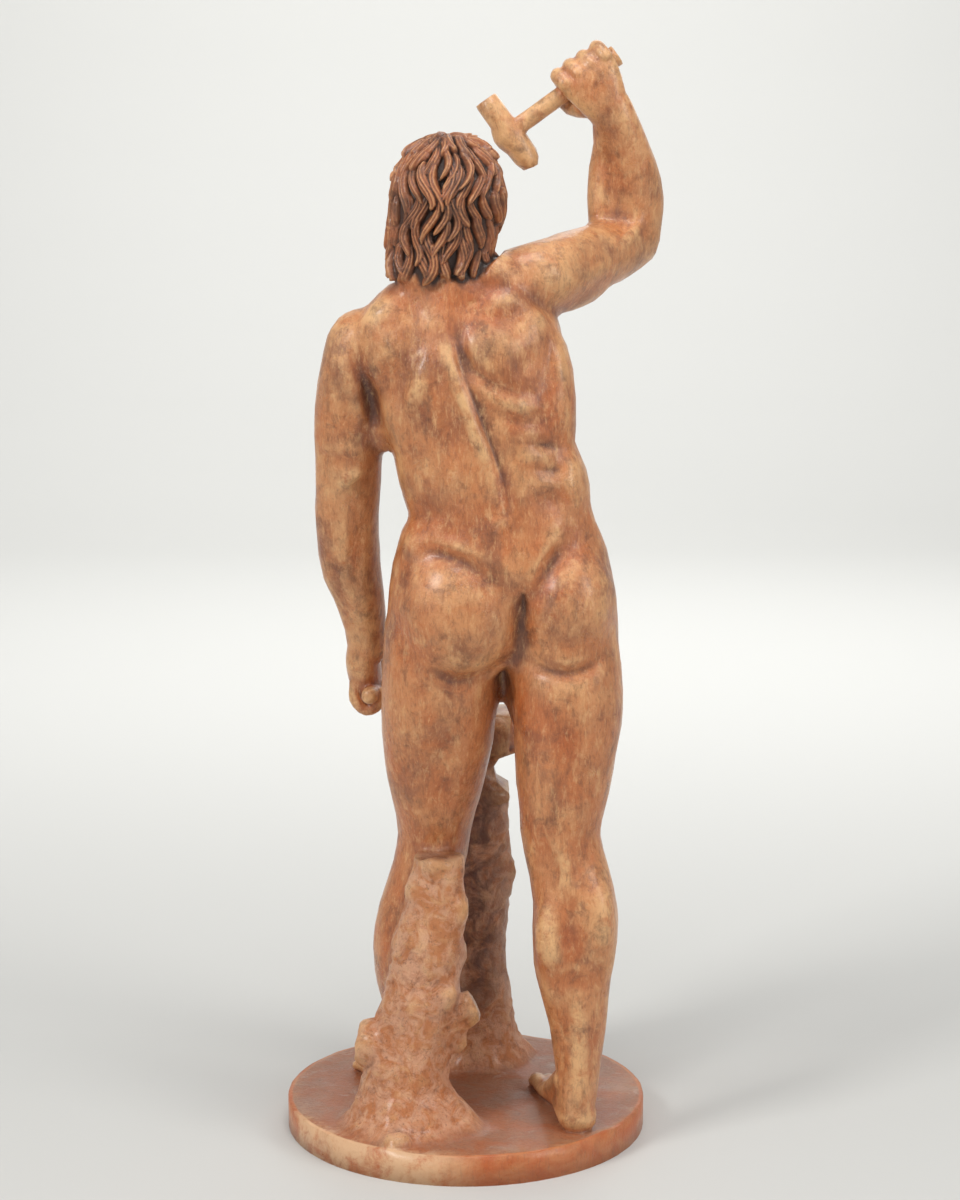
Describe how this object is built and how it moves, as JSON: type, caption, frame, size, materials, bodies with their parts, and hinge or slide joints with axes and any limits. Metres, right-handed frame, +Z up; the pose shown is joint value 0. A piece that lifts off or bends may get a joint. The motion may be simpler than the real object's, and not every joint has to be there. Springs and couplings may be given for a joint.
{
  "type": "statuette",
  "caption": "Fired clay figurine of a nude smith god raising a hammer over an anvil on a tree stump, all on a round base.",
  "frame": {"origin": "centre of the round base's underside", "axes": "+Z up, -Y the way the figure looks, +X the figure's left"},
  "size_m": [0.313, 0.3, 0.8974],
  "materials": {
    "fired_clay": "patinated brown, satin varnish"
  },
  "bodies": {
    "root": {"statuette": "fired_clay"}
  },
  "joints": []
}
